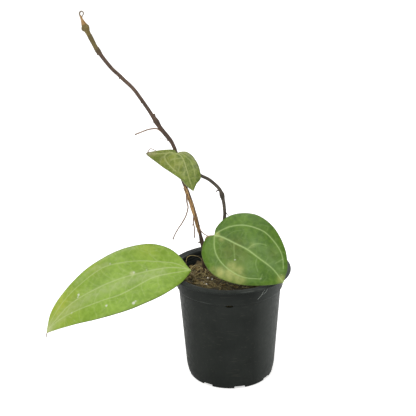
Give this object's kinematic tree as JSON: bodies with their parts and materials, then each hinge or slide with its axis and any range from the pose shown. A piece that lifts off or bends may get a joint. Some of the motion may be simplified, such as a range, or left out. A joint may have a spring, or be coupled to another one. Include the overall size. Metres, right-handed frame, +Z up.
{
  "type": "potted hoya plant",
  "caption": "Rooted hoya cutting with broad waxy leaves, a bare climbing vine and aerial roots, in a round tapered nursery pot of potting mix.",
  "frame": {"origin": "centre of the pot's underside, on the surface it stands on", "axes": "+Z up along the pot's axis, +X to the right of the plant's front, +Y to its back"},
  "size_m": [0.2013, 0.106, 0.3064],
  "materials": {
    "pot_plastic": "thin black moulded plastic, satin, with faint mould lines and scuffs",
    "potting_mix": "damp bark and coir mix",
    "bark": "composted bark chip",
    "perlite": "crumbly white perlite",
    "leaf_green": "waxy satin leaf with pale veins",
    "stem_brown": "dark woody vine",
    "tip_green": "young olive growth",
    "root_tan": "dry tan aerial root"
  },
  "bodies": {
    "root": {"arch_root": "root_tan", "arch_stem": "stem_brown", "arch_stub": "stem_brown", "bark_chip_1": "bark", "bark_chip_2": "bark", "bark_chip_3": "bark", "bark_chip_4": "bark", "bark_chip_5": "bark", "clinging_root_1": "root_tan", "clinging_root_2": "root_tan", "clinging_root_3": "root_tan", "growing_tip": "tip_green", "hanging_root_1": "root_tan", "hanging_root_2": "root_tan", "hanging_root_3": "root_tan", "leaf_long": "leaf_green", "leaf_long_thread": "root_tan", "leaf_round": "leaf_green", "leaf_small": "leaf_green", "leaf_small_thread": "root_tan", "main_vine": "stem_brown", "perlite_1": "perlite", "perlite_2": "perlite", "perlite_3": "perlite", "petiole_long": "tip_green", "petiole_round": "tip_green", "petiole_small": "tip_green", "pot": "pot_plastic", "potting_mix": "potting_mix", "surface_fibre_1": "root_tan", "surface_fibre_2": "root_tan", "tip_hook": "tip_green", "vine_root_1": "root_tan", "vine_root_2": "root_tan"}
  },
  "joints": []
}
